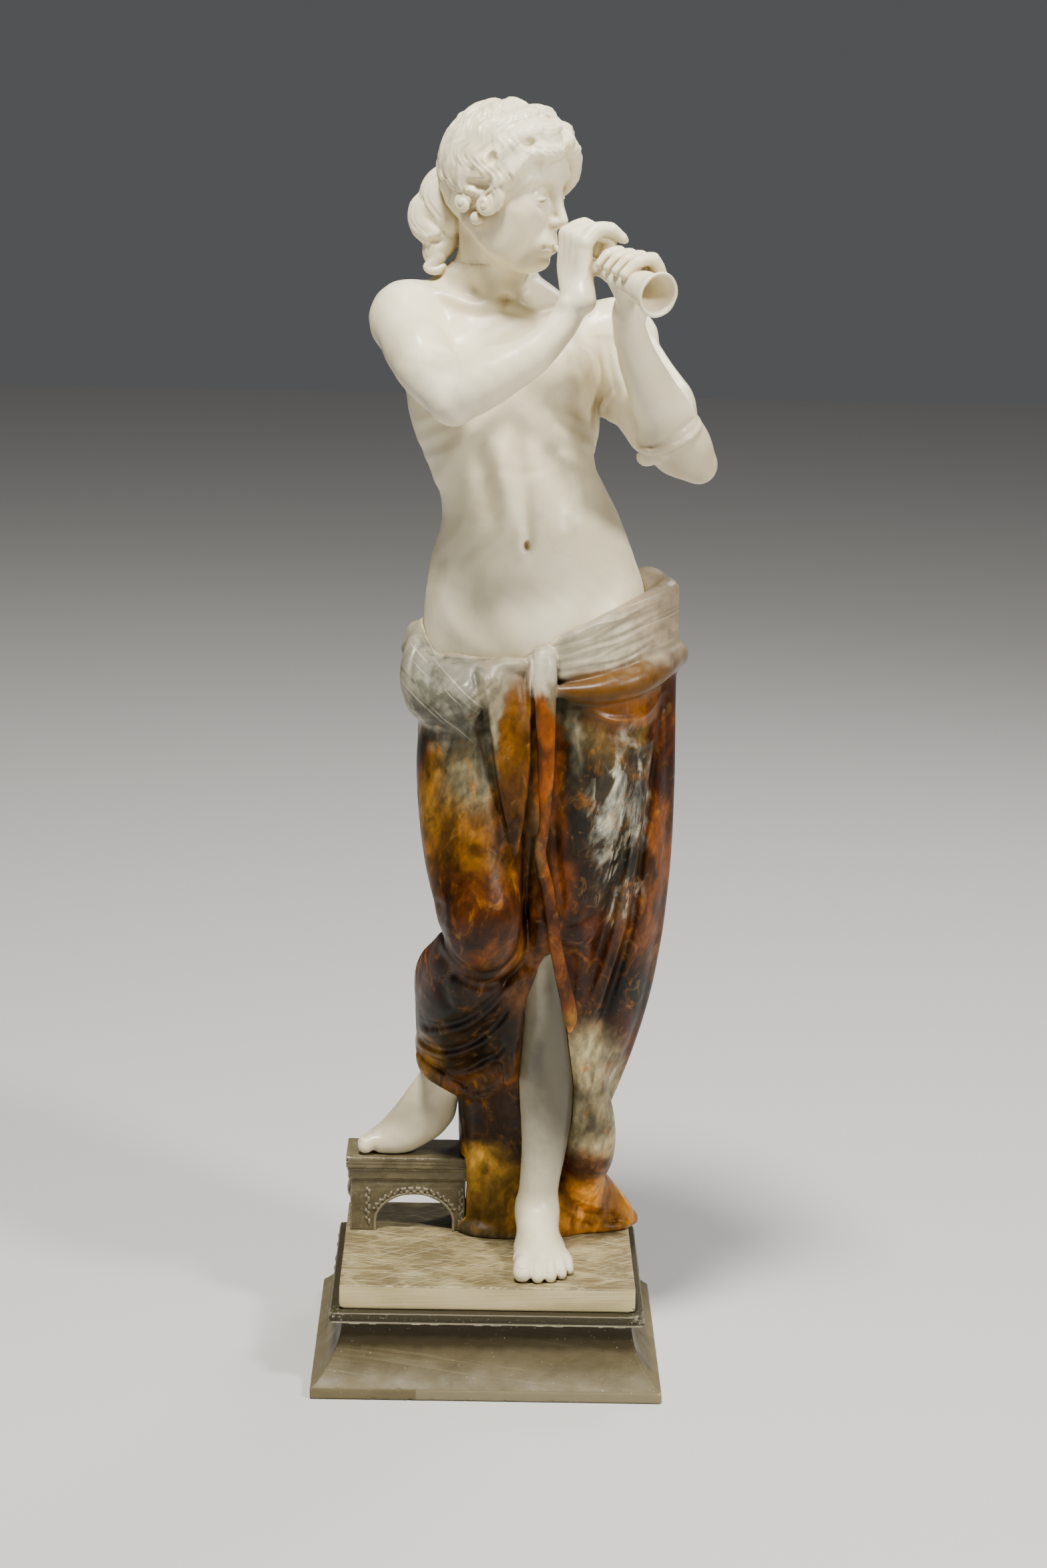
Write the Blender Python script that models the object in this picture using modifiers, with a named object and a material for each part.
"""Carved alabaster figure of a young pipe player on a stepped plinth.

The nude upper figure is let into a waist roll of drapery, which falls to the slab and carries it.
A white leg and a white foot come out of the drapery. Metres, +Z up, +X to the figure's left and
-Y to its front. The origin is the centre of the plinth's underside.
"""
import math

import bmesh
import bpy
from mathutils import Matrix, Vector

# Driving dimensions.
PLINTH_WIDTH = 0.2200
PLINTH_DEPTH = 0.1900
FOOT_FILLET_HEIGHT = 0.0070
LEDGE_BOTTOM = 0.0460
PLINTH_HEIGHT = 0.0530
NECK_INSET = 0.0190
LEDGE_INSET = 0.0110
SLAB_WIDTH = 0.1856
SLAB_DEPTH = 0.1556
SLAB_THICKNESS = 0.0155
JOINT_GAP = 0.0003
FIT_CLEARANCE = 0.0005
SLAB_TOP = PLINTH_HEIGHT + JOINT_GAP + SLAB_THICKNESS
STANDING_LEVEL = SLAB_TOP + JOINT_GAP

# The stool: outer faces, the height of its top above the slab, and its arch.
STOOL_LEFT = -0.0900
STOOL_RIGHT = -0.0150
STOOL_FRONT = 0.0225
STOOL_BACK = 0.0560
STOOL_TOP = SLAB_TOP + 0.0510
ARCH_LEFT = -0.0730
ARCH_RIGHT = -0.0235
ARCH_SPRING = 0.0060
ARCH_RISE = 0.0190
CORNICE_REACH = 0.0030
CORNICE_HEIGHT = 0.0080
FASCIA_REACH = 0.0016
FASCIA_LOW = 0.0150
FASCIA_HIGH = 0.0078
COPLANAR_OFFSET = 0.0001

# The joint between the white torso and the drapery is a plane that rises to the figure's left.
HIP_JOINT_POINT = Vector((0.0220, 0.0, 0.4560))
HIP_JOINT_SLOPE = math.radians(14.5)

# The head: centre of the skull, turned to the figure's left and bent slightly forward.
HEAD_CENTRE = Vector((-0.0030, -0.0200, 0.7500))
HEAD_TURN = math.radians(62.0)
HEAD_NOD = math.radians(5.0)
MOUTH = (0.0415, 0.0, -0.0360)
BELL_CENTRE = Vector((0.0865, -0.1280, 0.6905))
PIPE_MOUTH_RADIUS = 0.0019
PIPE_BODY_RADIUS = 0.0098
PIPE_BODY_SHARE = 0.94
BELL_RADIUS = 0.0133
BELL_HOLLOW_RADIUS = 0.0120
BELL_HOLLOW_DEPTH = 0.0220
BELL_OVERSHOOT = 0.0060

RING_POINTS = 20
SHARP_EDGE = math.radians(35.0)

# Reach of the large blocks that cut the figure at the hip joint and at the slab.
BLOCK_REACH = 0.2000

# Squareness of a level section: 2 is an ellipse, and more is boxier.
TORSO_SQUARENESS = 2.2

# Level sections of the torso: height, centre x, centre y, half width, half depth.
TORSO = [
    (0.4400, 0.0215, 0.0060, 0.0670, 0.0400),
    (0.4700, 0.0225, 0.0060, 0.0700, 0.0420),
    (0.5000, 0.0215, 0.0050, 0.0675, 0.0400),
    (0.5200, 0.0200, 0.0030, 0.0625, 0.0365),
    (0.5420, 0.0180, 0.0010, 0.0555, 0.0330),
    (0.5600, 0.0125, 0.0000, 0.0520, 0.0320),
    (0.5780, 0.0050, 0.0000, 0.0515, 0.0335),
    (0.6000, 0.0000, -0.0010, 0.0560, 0.0365),
    (0.6200, -0.0020, -0.0020, 0.0590, 0.0390),
    (0.6400, -0.0020, -0.0010, 0.0600, 0.0385),
    (0.6600, -0.0010, 0.0010, 0.0580, 0.0330),
    (0.6760, -0.0050, 0.0030, 0.0440, 0.0250),
    (0.6880, -0.0100, 0.0040, 0.0260, 0.0210),
]

# Rounded limbs: centre x, y, z and radius at each station.
NECK = [
    (-0.0120, 0.0060, 0.6780, 0.0230),
    (-0.0110, 0.0000, 0.6960, 0.0205),
    (-0.0080, -0.0080, 0.7130, 0.0200),
    (-0.0060, -0.0120, 0.7300, 0.0210),
]
RIGHT_SHOULDER_SLOPE = [
    (-0.0140, 0.0060, 0.6860, 0.0170),
    (-0.0380, 0.0030, 0.6740, 0.0170),
    (-0.0600, -0.0060, 0.6655, 0.0205),
]
LEFT_SHOULDER_SLOPE = [
    (-0.0060, 0.0060, 0.6840, 0.0170),
    (0.0300, 0.0050, 0.6630, 0.0170),
    (0.0640, 0.0020, 0.6560, 0.0200),
]
RIGHT_UPPER_ARM = [
    (-0.0600, -0.0060, 0.6655, 0.0205),
    (-0.0540, -0.0300, 0.6500, 0.0195),
    (-0.0450, -0.0560, 0.6370, 0.0178),
    (-0.0310, -0.0800, 0.6260, 0.0160),
]
RIGHT_FOREARM = [
    (-0.0300, -0.0820, 0.6250, 0.0152),
    (-0.0074, -0.0860, 0.6380, 0.0155),
    (0.0143, -0.0880, 0.6505, 0.0125),
    (0.0310, -0.0880, 0.6675, 0.0098),
    (0.0420, -0.0870, 0.6850, 0.0098),
]
RIGHT_HAND = [
    (0.0422, -0.0865, 0.6880, 0.0098),
    (0.0424, -0.0850, 0.7020, 0.0112),
    (0.0420, -0.0790, 0.7170, 0.0105),
]
LEFT_UPPER_ARM = [
    (0.0645, 0.0020, 0.6560, 0.0200),
    (0.0745, -0.0080, 0.6400, 0.0185),
    (0.0840, -0.0260, 0.6170, 0.0180),
    (0.1030, -0.0400, 0.5980, 0.0185),
    (0.1160, -0.0430, 0.5840, 0.0115),
]
LEFT_FOREARM = [
    (0.1040, -0.0420, 0.5970, 0.0190),
    (0.0940, -0.0580, 0.6160, 0.0165),
    (0.0790, -0.0740, 0.6450, 0.0128),
    (0.0716, -0.0850, 0.6700, 0.0105),
    (0.0740, -0.0880, 0.6850, 0.0105),
]
SOFT_SWELLINGS = [
    ((-0.0270, -0.0240, 0.6400), 0.0200),
    ((0.0300, -0.0240, 0.6390), 0.0200),
    ((0.0850, -0.0120, 0.6530), 0.0105),
    ((0.0930, -0.0500, 0.6310), 0.0120),
    ((0.0850, -0.0460, 0.5910), 0.0068),
    ((0.0690, -0.0260, 0.6130), 0.0070),
]

# Fingers of each hand: stations along each finger from knuckle to tip.
RIGHT_FINGERS = [
    [(0.0440, -0.0790, 0.7200, 0.0048), (0.0500, -0.0700, 0.7280, 0.0042),
     (0.0570, -0.0640, 0.7270, 0.0036), (0.0620, -0.0620, 0.7240, 0.0028)],
    [(0.0390, -0.0780, 0.7200, 0.0050), (0.0420, -0.0660, 0.7250, 0.0044),
     (0.0470, -0.0560, 0.7190, 0.0038), (0.0500, -0.0560, 0.7120, 0.0030)],
    [(0.0440, -0.0820, 0.7000, 0.0050), (0.0520, -0.0740, 0.7060, 0.0042),
     (0.0560, -0.0680, 0.7120, 0.0034)],
]
LEFT_PALM = [
    (0.0745, -0.0870, 0.6850, 0.0100),
    (0.0830, -0.0880, 0.6980, 0.0085),
    (0.0810, -0.0930, 0.7080, 0.0070),
]
LEFT_FINGERS = [
    [(0.0800, -0.0960, 0.7110, 0.0045), (0.0730, -0.1040, 0.7150, 0.0042),
     (0.0670, -0.1090, 0.7080, 0.0036)],
    [(0.0740, -0.0880, 0.7120, 0.0045), (0.0670, -0.0960, 0.7170, 0.0042),
     (0.0610, -0.1010, 0.7100, 0.0036)],
    [(0.0680, -0.0800, 0.7120, 0.0045), (0.0610, -0.0880, 0.7180, 0.0042),
     (0.0560, -0.0930, 0.7110, 0.0036)],
]

# Parts of the head, in the head's own axes: forward, left, up from the skull's centre,
# then their half sizes along the same axes.
HEAD_MASSES = [
    ((-0.0010, 0.0, 0.0040), (0.0410, 0.0320, 0.0385)),
    ((0.0140, 0.0, -0.0170), (0.0235, 0.0235, 0.0300)),
    ((0.0255, 0.0, -0.0400), (0.0110, 0.0115, 0.0085)),
    ((0.0350, 0.0, -0.0345), (0.0050, 0.0090, 0.0060)),
    ((0.0320, 0.0, 0.0040), (0.0070, 0.0210, 0.0060)),
]
NOSE = [
    ((0.0390, 0.0, 0.0020), 0.0030),
    ((0.0430, 0.0, -0.0100), 0.0036),
    ((0.0460, 0.0, -0.0205), 0.0044),
]
HAIR_MASSES = [
    ((-0.0030, 0.0, 0.0085), (0.0400, 0.0355, 0.0385)),
    ((0.0170, 0.0, 0.0240), (0.0220, 0.0300, 0.0160)),
    ((0.0090, -0.0290, 0.0030), (0.0150, 0.0080, 0.0150)),
    ((0.0090, 0.0290, 0.0030), (0.0150, 0.0080, 0.0150)),
    ((-0.0040, -0.0300, -0.0170), (0.0110, 0.0070, 0.0110)),
    ((-0.0040, 0.0300, -0.0170), (0.0110, 0.0070, 0.0110)),
    ((-0.0280, 0.0, -0.0200), (0.0170, 0.0180, 0.0150)),
]
HAIR_TAIL = [
    (-0.0340, 0.0000, 0.7300, 0.0150),
    (-0.0460, 0.0080, 0.7340, 0.0145),
    (-0.0480, 0.0100, 0.7200, 0.0130),
    (-0.0480, 0.0100, 0.7060, 0.0095),
    (-0.0450, 0.0080, 0.6940, 0.0055),
]

# Level sections of the drapery: height, centre x, centre y, half width, half depth, squareness.
SKIRT = [
    (0.4620, 0.0290, 0.0060, 0.0760, 0.0440, 2.2),
    (0.4360, 0.0280, 0.0070, 0.0800, 0.0490, 2.2),
    (0.4100, 0.0320, 0.0070, 0.0780, 0.0520, 2.2),
    (0.3800, 0.0320, 0.0060, 0.0785, 0.0520, 2.2),
    (0.3330, 0.0340, 0.0060, 0.0755, 0.0510, 2.3),
    (0.3000, 0.0370, 0.0080, 0.0700, 0.0490, 2.4),
    (0.2720, 0.0370, 0.0120, 0.0680, 0.0460, 2.5),
    (0.2320, 0.0360, 0.0180, 0.0630, 0.0420, 2.6),
    (0.1900, 0.0330, 0.0260, 0.0550, 0.0380, 2.8),
    (0.1660, 0.0290, 0.0320, 0.0500, 0.0340, 3.0),
    (0.1250, 0.0265, 0.0380, 0.0460, 0.0305, 2.9),
    (0.1000, 0.0245, 0.0400, 0.0435, 0.0295, 2.7),
    (0.0800, 0.0235, 0.0410, 0.0435, 0.0300, 2.5),
    (0.0640, 0.0235, 0.0410, 0.0445, 0.0305, 2.5),
]
BENT_THIGH = [
    (-0.0120, -0.0020, 0.4350, 0.0400),
    (-0.0150, -0.0180, 0.3900, 0.0370),
    (-0.0120, -0.0380, 0.3400, 0.0320),
    (-0.0080, -0.0580, 0.2990, 0.0270),
]
BENT_SHIN = [
    (-0.0060, -0.0480, 0.2900, 0.0250),
    (-0.0180, -0.0180, 0.2500, 0.0290),
    (-0.0230, 0.0080, 0.2100, 0.0260),
    (-0.0230, 0.0280, 0.1880, 0.0265),
]
STANDING_THIGH = [
    (0.0550, -0.0060, 0.4400, 0.0440),
    (0.0500, -0.0140, 0.3700, 0.0380),
    (0.0400, -0.0170, 0.3050, 0.0290),
]
WAIST_ROLL = [
    (-0.0480, -0.0200, 0.4360, 0.0150),
    (-0.0300, -0.0360, 0.4380, 0.0130),
    (0.0000, -0.0420, 0.4480, 0.0100),
    (0.0400, -0.0400, 0.4640, 0.0110),
    (0.0660, -0.0330, 0.4700, 0.0140),
    (0.0860, -0.0220, 0.4770, 0.0155),
    (0.0980, 0.0020, 0.4870, 0.0165),
    (0.0840, 0.0340, 0.4880, 0.0160),
    (0.0480, 0.0500, 0.4760, 0.0130),
    (0.0060, 0.0500, 0.4600, 0.0120),
    (-0.0300, 0.0340, 0.4440, 0.0130),
    (-0.0500, 0.0060, 0.4360, 0.0140),
    (-0.0480, -0.0200, 0.4360, 0.0150),
]
SECOND_ROLL = [
    (0.0340, -0.0440, 0.4420, 0.0080),
    (0.0700, -0.0340, 0.4520, 0.0110),
    (0.0960, -0.0100, 0.4640, 0.0140),
    (0.1010, 0.0200, 0.4660, 0.0140),
]
HIP_KNOT = [
    (-0.0400, -0.0300, 0.4460, 0.0120),
    (-0.0480, -0.0200, 0.4280, 0.0150),
    (-0.0440, -0.0180, 0.4080, 0.0100),
]
WIDE_FLAP = [
    (0.0080, -0.0480, 0.4480, 0.0110),
    (0.0090, -0.0560, 0.4000, 0.0100),
    (0.0100, -0.0600, 0.3500, 0.0070),
    (0.0120, -0.0600, 0.3150, 0.0040),
]
LONG_FLAP = [
    (0.0290, -0.0520, 0.4520, 0.0070),
    (0.0300, -0.0580, 0.4000, 0.0075),
    (0.0310, -0.0580, 0.3300, 0.0070),
    (0.0370, -0.0520, 0.2900, 0.0070),
    (0.0450, -0.0440, 0.2420, 0.0050),
]
SIDE_FOLD = [
    (0.1000, 0.0060, 0.4560, 0.0120),
    (0.1020, 0.0040, 0.4000, 0.0100),
    (0.1020, 0.0060, 0.3330, 0.0090),
    (0.0980, 0.0100, 0.2700, 0.0085),
    (0.0900, 0.0160, 0.2200, 0.0080),
    (0.0800, 0.0200, 0.1800, 0.0070),
]
CALF_FOLD = [
    (0.0600, -0.0260, 0.2900, 0.0100),
    (0.0540, -0.0160, 0.2400, 0.0100),
    (0.0600, -0.0020, 0.1820, 0.0140),
    (0.0645, 0.0080, 0.1320, 0.0164),
    (0.0615, 0.0170, 0.1060, 0.0125),
]
KNEE_SAG = [
    (0.0270, -0.0400, 0.2980, 0.0100),
    (0.0240, -0.0360, 0.2740, 0.0085),
    (0.0163, -0.0320, 0.2500, 0.0075),
    (0.0120, -0.0220, 0.2200, 0.0070),
]
KNEE_WEB = [
    (0.0130, -0.0380, 0.2880, 0.0120),
    (0.0080, -0.0260, 0.2580, 0.0130),
    (0.0040, -0.0100, 0.2200, 0.0130),
]
SHIN_FOLDS = [
    [(0.0080, -0.0500, 0.2780, 0.0070), (-0.0200, -0.0400, 0.2500, 0.0075),
     (-0.0420, -0.0060, 0.2400, 0.0080)],
    [(0.0120, -0.0340, 0.2600, 0.0070), (-0.0120, -0.0280, 0.2250, 0.0075),
     (-0.0400, 0.0040, 0.2140, 0.0080)],
    [(0.0140, -0.0220, 0.2300, 0.0070), (-0.0040, -0.0120, 0.2000, 0.0075),
     (-0.0280, 0.0060, 0.1860, 0.0080)],
]
SHIN_HEM = [
    (-0.0440, 0.0060, 0.2000, 0.0070),
    (-0.0380, 0.0060, 0.1840, 0.0080),
    (-0.0200, 0.0080, 0.1720, 0.0080),
]
TRAIN_FOLDS = [
    [(0.0580, 0.0230, 0.1060, 0.0130), (0.0550, 0.0310, 0.0880, 0.0130), (0.0540, 0.0350, 0.0740, 0.0140)],
    [(0.0620, 0.0220, 0.1060, 0.0125), (0.0680, 0.0320, 0.0880, 0.0120), (0.0710, 0.0360, 0.0740, 0.0125)],
    [(0.0660, 0.0260, 0.1040, 0.0095), (0.0800, 0.0380, 0.0880, 0.0095), (0.0880, 0.0430, 0.0760, 0.0095),
     (0.0935, 0.0470, 0.0725, 0.0060)],
]
DRAPERY_LIMBS = [
    BENT_THIGH, BENT_SHIN, STANDING_THIGH, WAIST_ROLL, SECOND_ROLL, HIP_KNOT, WIDE_FLAP,
    LONG_FLAP, SIDE_FOLD, CALF_FOLD, KNEE_SAG, KNEE_WEB, SHIN_HEM, *SHIN_FOLDS, *TRAIN_FOLDS,
]

# The white leg, its foot and its toes.
SHIN = [
    (0.0300, -0.0150, 0.2950, 0.0180),
    (0.0310, -0.0170, 0.2650, 0.0170),
    (0.0335, -0.0120, 0.2350, 0.0150),
    (0.0360, -0.0060, 0.1950, 0.0185),
    (0.0365, -0.0060, 0.1750, 0.0182),
    (0.0350, -0.0080, 0.1400, 0.0148),
    (0.0330, -0.0090, 0.1120, 0.0132),
    (0.0320, -0.0100, 0.0900, 0.0150),
]
INSTEP = [
    (0.0320, -0.0080, 0.0920, 0.0150),
    (0.0325, -0.0260, 0.0840, 0.0130),
    (0.0330, -0.0420, 0.0780, 0.0110),
]
FOOT_MASSES = [
    ((0.0320, 0.0060, 0.0810), (0.0135, 0.0165, 0.0140)),
    ((0.0325, -0.0200, 0.0770), (0.0150, 0.0260, 0.0100)),
    ((0.0335, -0.0440, 0.0755), (0.0185, 0.0180, 0.0085)),
]
TOE_COUNT = 5
GREAT_TOE = (0.0215, -0.0550, 0.0740, 0.0060)
LITTLE_TOE = (0.0480, -0.0400, 0.0735, 0.0044)
TOE_REACH = 0.0095

# The raised foot: from the shin that the drapery hides to the ball of the foot.
RAISED_FOOT = [
    (-0.0180, 0.0330, 0.1860, 0.0170),
    (-0.0290, 0.0350, 0.1680, 0.0158),
    (-0.0440, 0.0360, 0.1490, 0.0150),
    (-0.0600, 0.0370, 0.1330, 0.0125),
    (-0.0700, 0.0370, 0.1275, 0.0090),
]
RAISED_BALL = ((-0.0640, 0.0375, 0.1280), (0.0130, 0.0140, 0.0085))
RAISED_GREAT_TOE = (-0.0740, 0.0290, 0.1260, 0.0058)
RAISED_LITTLE_TOE = (-0.0640, 0.0480, 0.1250, 0.0042)
RAISED_TOE_REACH = 0.0085


def clear_scene():
    for obj in list(bpy.data.objects):
        bpy.data.objects.remove(obj, do_unlink=True)


def make_collection(name):
    collection = bpy.data.collections.new(name)
    bpy.context.scene.collection.children.link(collection)
    return collection


def make_material(name, colour, roughness):
    material = bpy.data.materials.new(name)
    material.use_nodes = True
    shader = material.node_tree.nodes["Principled BSDF"]
    shader.inputs["Base Color"].default_value = (*colour, 1.0)
    shader.inputs["Roughness"].default_value = roughness
    shader.inputs["Metallic"].default_value = 0.0
    material.diffuse_color = (*colour, 1.0)
    return material


def add_object(name, bm, collection, material=None):
    """Turn a bmesh into a named object in a collection, shaded smooth."""
    mesh = bpy.data.meshes.new(name)
    bmesh.ops.recalc_face_normals(bm, faces=bm.faces)
    bm.to_mesh(mesh)
    bm.free()
    mesh.shade_smooth()
    if material is not None:
        mesh.materials.append(material)
    obj = bpy.data.objects.new(name, mesh)
    collection.objects.link(obj)
    return obj


def as_cutter(obj):
    """Keep an object as a guide for Boolean modifiers only."""
    obj.hide_render = True
    obj.display_type = "WIRE"
    return obj


def bridge_rings(bm, rings):
    """Skin a list of equal rings and close both ends."""
    for lower, upper in zip(rings, rings[1:]):
        count = len(lower)
        for k in range(count):
            following = (k + 1) % count
            bm.faces.new((lower[k], lower[following], upper[following], upper[k]))
    bm.faces.new(list(reversed(rings[0])))
    bm.faces.new(rings[-1])


def add_ball(bm, centre, half_sizes, axes=None):
    """A stretched sphere; axes is the rotation of its own frame."""
    place = Matrix.Translation(centre)
    if axes is not None:
        place = place @ axes.to_4x4()
    place = place @ Matrix.Diagonal((*half_sizes, 1.0))
    bmesh.ops.create_uvsphere(bm, u_segments=24, v_segments=14, radius=1.0, matrix=place)


def add_limb(bm, stations):
    """A round tapering form through the stations, with a ball at each station."""
    centres = [Vector(station[:3]) for station in stations]
    radii = [station[3] for station in stations]
    side = None
    rings = []
    for k, centre in enumerate(centres):
        ahead = centres[min(k + 1, len(centres) - 1)]
        behind = centres[max(k - 1, 0)]
        along = (ahead - behind).normalized()
        if side is None:
            side = along.orthogonal().normalized()
        side = (side - along * side.dot(along)).normalized()
        other = along.cross(side)
        ring = []
        for j in range(RING_POINTS):
            angle = 2.0 * math.pi * j / RING_POINTS
            spoke = side * math.cos(angle) + other * math.sin(angle)
            ring.append(bm.verts.new(centre + spoke * radii[k]))
        rings.append(ring)
    bridge_rings(bm, rings)
    for centre, radius in zip(centres, radii):
        add_ball(bm, centre, (radius,) * 3)


def add_column(bm, sections):
    """A form through level sections, each a squared oval."""
    rings = []
    for height, centre_x, centre_y, half_width, half_depth, squareness in sections:
        ring = []
        for j in range(2 * RING_POINTS):
            angle = math.pi * j / RING_POINTS
            across = math.cos(angle)
            deep = math.sin(angle)
            ring.append(bm.verts.new((
                centre_x + half_width * math.copysign(abs(across) ** (2.0 / squareness), across),
                centre_y + half_depth * math.copysign(abs(deep) ** (2.0 / squareness), deep),
                height,
            )))
        rings.append(ring)
    bridge_rings(bm, rings)


def add_box(bm, low, high):
    """A box between two opposite corners."""
    low = Vector(low)
    high = Vector(high)
    size = high - low
    place = Matrix.Translation((low + high) / 2.0) @ Matrix.Diagonal((*size, 1.0))
    bmesh.ops.create_cube(bm, size=1.0, matrix=place)


def fuse(obj, voxel, smoothing, keep):
    """Melt an object's overlapping forms into one skin and thin its faces."""
    remesh = obj.modifiers.new("fuse", "REMESH")
    remesh.mode = "VOXEL"
    remesh.voxel_size = voxel
    remesh.use_smooth_shade = True
    smooth = obj.modifiers.new("soften", "SMOOTH")
    smooth.factor = 0.5
    smooth.iterations = smoothing
    decimate = obj.modifiers.new("thin", "DECIMATE")
    decimate.ratio = keep


def cut(obj, cutter, operation="DIFFERENCE"):
    boolean = obj.modifiers.new("cut_" + cutter.name, "BOOLEAN")
    boolean.operation = operation
    boolean.solver = "EXACT"
    boolean.object = cutter


def clearance_copy(obj, cutters):
    """The finished shape of a piece, grown a little, for cutting its neighbour."""
    graph = bpy.context.evaluated_depsgraph_get()
    mesh = bpy.data.meshes.new_from_object(obj.evaluated_get(graph))
    copy = bpy.data.objects.new(obj.name + "_clearance", mesh)
    cutters.objects.link(copy)
    grow = copy.modifiers.new("grow", "DISPLACE")
    grow.strength = FIT_CLEARANCE
    grow.mid_level = 0.0
    return as_cutter(copy)


def head_axes():
    """Columns are the head's forward, left and up directions."""
    nod = Matrix.Rotation(HEAD_NOD, 3, "Y")
    turn = Matrix.Rotation(HEAD_TURN - math.pi / 2.0, 3, "Z")
    return turn @ nod


def head_point(local):
    return HEAD_CENTRE + head_axes() @ Vector(local)


def toe_row(great_toe, little_toe, reach, pointing):
    """Five short toes from the great toe to the little toe."""
    toes = []
    for k in range(TOE_COUNT):
        share = k / (TOE_COUNT - 1)
        root = Vector(great_toe[:3]).lerp(Vector(little_toe[:3]), share)
        radius = great_toe[3] + (little_toe[3] - great_toe[3]) * min(1.0, 2.0 * share)
        tip = root + Vector(pointing) * reach * (1.0 - 0.4 * share)
        toes.append([(*root, radius), (*tip, radius * 0.9)])
    return toes


def build_plinth(collection, material):
    """Rectangles stacked along a profile: fillet, cavetto, neck and half-round ledge."""
    profile = [(0.0, 0.0), (0.0, FOOT_FILLET_HEIGHT)]
    first_angle = math.radians(38.0)
    cavetto_steps = 10
    start_sine = math.sin(first_angle)
    start_cosine = math.cos(first_angle)
    for k in range(1, cavetto_steps + 1):
        angle = first_angle + (math.pi / 2.0 - first_angle) * k / cavetto_steps
        inwards = (math.sin(angle) - start_sine) / (1.0 - start_sine)
        upwards = (start_cosine - math.cos(angle)) / start_cosine
        height = FOOT_FILLET_HEIGHT + (LEDGE_BOTTOM - FOOT_FILLET_HEIGHT) * upwards
        profile.append((NECK_INSET * inwards, height))
    ledge_radius = (PLINTH_HEIGHT - LEDGE_BOTTOM) / 2.0
    ledge_steps = 8
    for k in range(ledge_steps + 1):
        angle = -math.pi / 2.0 + math.pi * k / ledge_steps
        inset = LEDGE_INSET + ledge_radius * (1.0 - math.cos(angle))
        profile.append((inset, LEDGE_BOTTOM + ledge_radius * (1.0 + math.sin(angle))))
    bm = bmesh.new()
    rings = []
    for inset, height in profile:
        half_width = PLINTH_WIDTH / 2.0 - inset
        half_depth = PLINTH_DEPTH / 2.0 - inset
        corners = ((-1, -1), (1, -1), (1, 1), (-1, 1))
        rings.append([bm.verts.new((x * half_width, y * half_depth, height)) for x, y in corners])
    bridge_rings(bm, rings)
    plinth = add_object("plinth", bm, collection, material)
    plinth.data.set_sharp_from_angle(angle=SHARP_EDGE)
    return plinth


def build_slab(collection, material):
    bm = bmesh.new()
    bottom = PLINTH_HEIGHT + JOINT_GAP
    half = Vector((SLAB_WIDTH / 2.0, SLAB_DEPTH / 2.0))
    add_box(bm, (-half.x, -half.y, bottom), (half.x, half.y, SLAB_TOP))
    slab = add_object("top_slab", bm, collection, material)
    bevel = slab.modifiers.new("eased_edges", "BEVEL")
    bevel.width = 0.0012
    bevel.segments = 2
    slab.data.set_sharp_from_angle(angle=SHARP_EDGE)
    return slab


def stool_layers(growth):
    """Opposite corners of the stool's body, cornice and fascia, grown all round."""
    layers = [
        (0.0, STOOL_TOP - STANDING_LEVEL, 0.0),
        (CORNICE_REACH, CORNICE_HEIGHT, COPLANAR_OFFSET),
        (FASCIA_REACH, FASCIA_LOW, FASCIA_HIGH),
    ]
    boxes = []
    for reach, below, above in layers:
        out = reach + growth
        low = (STOOL_LEFT - out, STOOL_FRONT - out, STOOL_TOP - below - growth)
        high = (STOOL_RIGHT + out, STOOL_BACK + out, STOOL_TOP - above + growth)
        boxes.append((low, high))
    return boxes


def build_footstool(collection, cutters, material):
    """A box with a projecting top, a frieze band and an arch right through."""
    bm = bmesh.new()
    body, cornice, fascia = stool_layers(0.0)
    add_box(bm, *body)
    stool = add_object("footstool", bm, collection, material)
    for label, layer in (("cornice", cornice), ("fascia", fascia)):
        bm = bmesh.new()
        add_box(bm, *layer)
        cut(stool, as_cutter(add_object("stool_" + label, bm, cutters)), "UNION")

    bm = bmesh.new()
    arch_centre = (ARCH_LEFT + ARCH_RIGHT) / 2.0
    arch_radius = (ARCH_RIGHT - ARCH_LEFT) / 2.0
    spring = STANDING_LEVEL + ARCH_SPRING
    depth = STOOL_BACK - STOOL_FRONT
    place = (
        Matrix.Translation((arch_centre, (STOOL_FRONT + STOOL_BACK) / 2.0, spring))
        @ Matrix.Diagonal((arch_radius, 2.0 * depth, ARCH_RISE, 1.0))
        @ Matrix.Rotation(math.pi / 2.0, 4, "X")
    )
    bmesh.ops.create_cone(
        bm, cap_ends=True, segments=32, radius1=1.0, radius2=1.0, depth=1.0, matrix=place
    )
    cut(stool, as_cutter(add_object("arch_head", bm, cutters)))

    bm = bmesh.new()
    add_box(
        bm,
        (ARCH_LEFT, STOOL_FRONT - depth, 0.0),
        (ARCH_RIGHT, STOOL_BACK + depth, spring),
    )
    cut(stool, as_cutter(add_object("arch_foot", bm, cutters)))
    stool.data.set_sharp_from_angle(angle=SHARP_EDGE)
    return stool


def add_head(bm):
    axes = head_axes()
    for centre, half_sizes in HEAD_MASSES + HAIR_MASSES:
        add_ball(bm, head_point(centre), half_sizes, axes)
    add_limb(bm, [(*head_point(centre), radius) for centre, radius in NOSE])
    add_limb(bm, HAIR_TAIL)


def facing(place, direction):
    """A frame at a place whose Z axis points along a direction."""
    return Matrix.Translation(place) @ direction.to_track_quat("Z", "Y").to_matrix().to_4x4()


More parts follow.
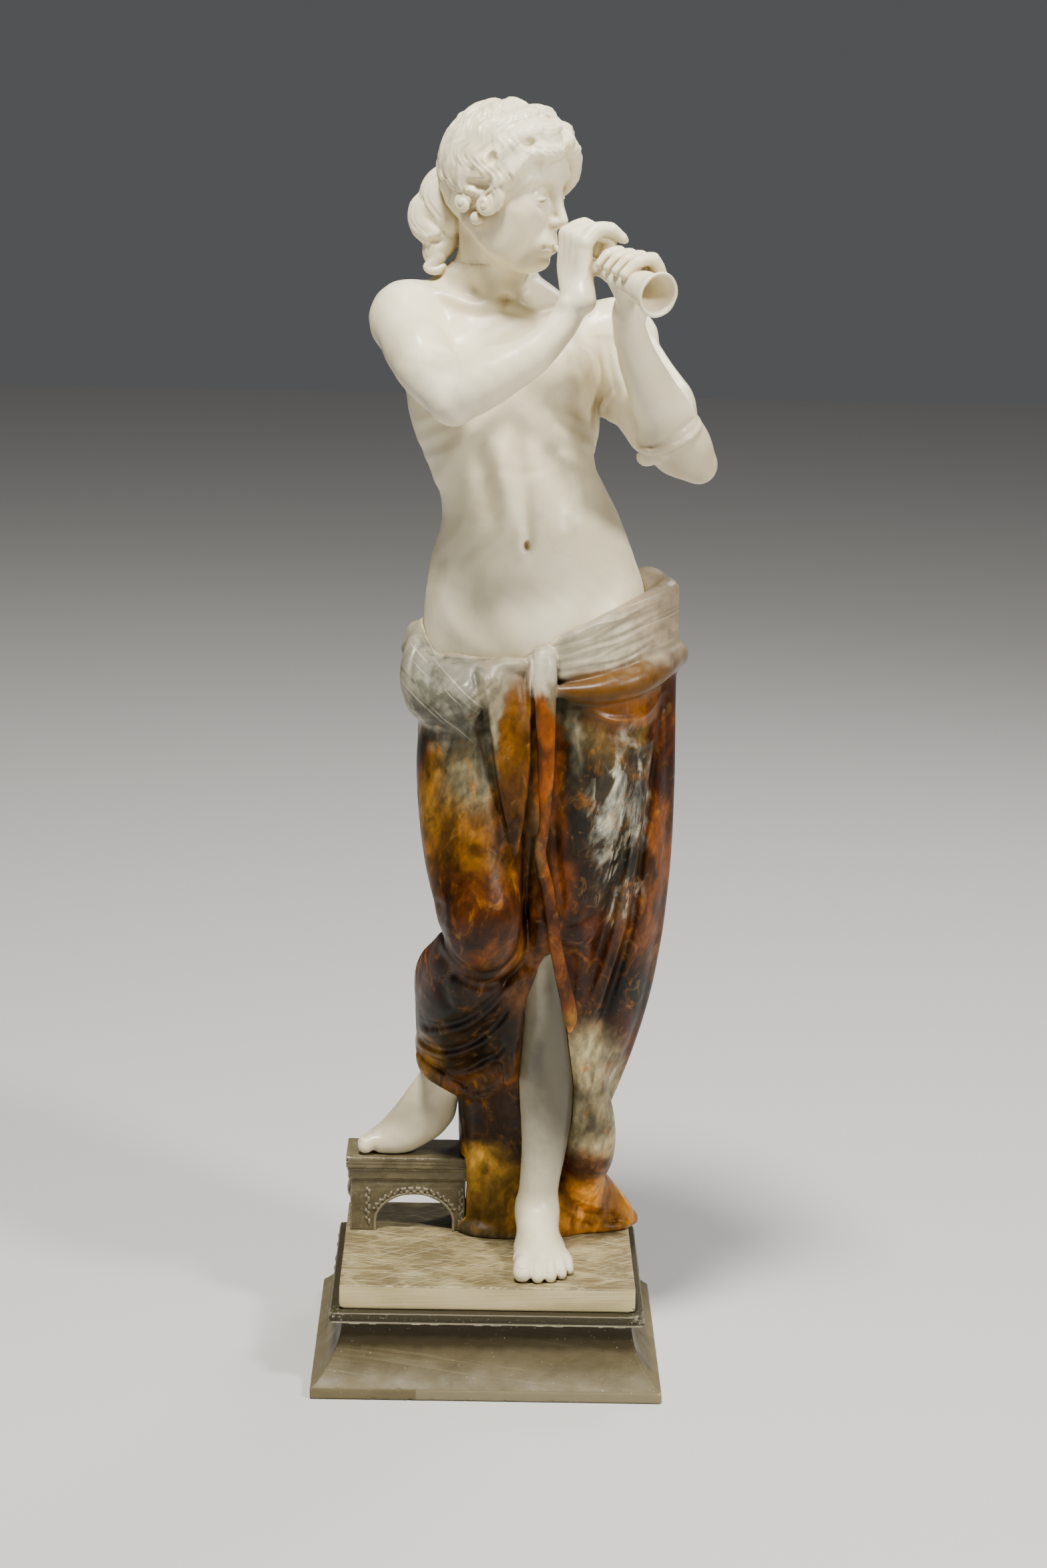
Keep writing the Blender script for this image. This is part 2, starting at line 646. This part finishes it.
def add_pipe(bm):
    """A cone from the lips to the bell, which flares at its rim."""
    start = head_point(MOUTH)
    line = BELL_CENTRE - start
    body_end = start + line * PIPE_BODY_SHARE
    add_limb(bm, [(*start, PIPE_MOUTH_RADIUS), (*body_end, PIPE_BODY_RADIUS)])
    flare = BELL_CENTRE - body_end
    bmesh.ops.create_cone(
        bm, cap_ends=True, segments=32, radius1=PIPE_BODY_RADIUS, radius2=BELL_RADIUS,
        depth=flare.length, matrix=facing(body_end + flare / 2.0, line),
    )


def build_upper_figure(collection, cutters, material):
    bm = bmesh.new()
    add_column(bm, [(*section, TORSO_SQUARENESS) for section in TORSO])
    limbs = [NECK, RIGHT_SHOULDER_SLOPE, LEFT_SHOULDER_SLOPE, RIGHT_UPPER_ARM, RIGHT_FOREARM,
             RIGHT_HAND, LEFT_UPPER_ARM, LEFT_FOREARM, LEFT_PALM]
    for stations in limbs + RIGHT_FINGERS + LEFT_FINGERS:
        add_limb(bm, stations)
    for centre, radius in SOFT_SWELLINGS:
        add_ball(bm, centre, (radius,) * 3)
    add_head(bm)
    add_pipe(bm)
    figure = add_object("upper_figure", bm, collection, material)
    fuse(figure, voxel=0.0017, smoothing=4, keep=0.0218)

    bm = bmesh.new()
    add_box(bm, (-BLOCK_REACH,) * 3, (BLOCK_REACH, BLOCK_REACH, 0.0))
    hip_plane = as_cutter(add_object("hip_plane", bm, cutters))
    hip_plane.location = HIP_JOINT_POINT
    hip_plane.rotation_euler = (0.0, -HIP_JOINT_SLOPE, 0.0)
    cut(figure, hip_plane)

    bm = bmesh.new()
    start = head_point(MOUTH)
    line = (BELL_CENTRE - start).normalized()
    middle = BELL_CENTRE + line * (BELL_OVERSHOOT - BELL_HOLLOW_DEPTH / 2.0)
    bmesh.ops.create_cone(
        bm, cap_ends=True, segments=24, radius1=PIPE_MOUTH_RADIUS, radius2=BELL_HOLLOW_RADIUS,
        depth=BELL_HOLLOW_DEPTH, matrix=facing(middle, line),
    )
    cut(figure, as_cutter(add_object("bell_hollow", bm, cutters)))
    return figure


def build_leg(collection, material, floor):
    bm = bmesh.new()
    add_limb(bm, SHIN)
    add_limb(bm, INSTEP)
    for centre, half_sizes in FOOT_MASSES:
        add_ball(bm, centre, half_sizes)
    for toe in toe_row(GREAT_TOE, LITTLE_TOE, TOE_REACH, (0.0, -1.0, 0.0)):
        add_limb(bm, toe)
    leg = add_object("standing_leg", bm, collection, material)
    fuse(leg, voxel=0.0015, smoothing=3, keep=0.024)
    cut(leg, floor)
    return leg


def build_raised_foot(collection, cutters, material):
    bm = bmesh.new()
    add_limb(bm, RAISED_FOOT)
    add_ball(bm, *RAISED_BALL)
    toes = toe_row(RAISED_GREAT_TOE, RAISED_LITTLE_TOE, RAISED_TOE_REACH, (-1.0, -0.1, -0.1))
    for toe in toes:
        add_limb(bm, toe)
    foot = add_object("raised_foot", bm, collection, material)
    fuse(foot, voxel=0.0013, smoothing=3, keep=0.028)

    bm = bmesh.new()
    top = STOOL_TOP + JOINT_GAP
    add_box(bm, (-BLOCK_REACH, -BLOCK_REACH, 0.0), (BLOCK_REACH, BLOCK_REACH, top))
    cut(foot, as_cutter(add_object("stool_level", bm, cutters)))
    return foot


def build_drapery(collection, cutters, material, floor, neighbours):
    bm = bmesh.new()
    add_column(bm, SKIRT)
    for stations in DRAPERY_LIMBS:
        add_limb(bm, stations)
    drapery = add_object("drapery", bm, collection, material)
    fuse(drapery, voxel=0.0020, smoothing=3, keep=0.0205)
    cut(drapery, floor)
    for neighbour in neighbours:
        cut(drapery, clearance_copy(neighbour, cutters))
    for k, layer in enumerate(stool_layers(JOINT_GAP)):
        bm = bmesh.new()
        add_box(bm, *layer)
        cut(drapery, as_cutter(add_object("stool_seat_%d" % k, bm, cutters)))
    return drapery


def build_floor_cutter(cutters):
    bm = bmesh.new()
    add_box(bm, (-BLOCK_REACH, -BLOCK_REACH, 0.0), (BLOCK_REACH, BLOCK_REACH, STANDING_LEVEL))
    return as_cutter(add_object("slab_level", bm, cutters))


def main():
    clear_scene()
    statue = make_collection("pipe_player")
    cutters = make_collection("cutters")
    cream = make_material("cream_alabaster", (0.80, 0.73, 0.60), 0.32)
    amber = make_material("amber_alabaster", (0.52, 0.22, 0.06), 0.25)
    beige = make_material("beige_alabaster", (0.62, 0.54, 0.38), 0.38)
    grey = make_material("grey_beige_alabaster", (0.46, 0.42, 0.30), 0.30)

    floor = build_floor_cutter(cutters)
    build_plinth(statue, grey)
    build_slab(statue, beige)
    build_footstool(statue, cutters, beige)
    figure = build_upper_figure(statue, cutters, cream)
    leg = build_leg(statue, cream, floor)
    foot = build_raised_foot(statue, cutters, cream)
    build_drapery(statue, cutters, amber, floor, [figure, leg, foot])


main()
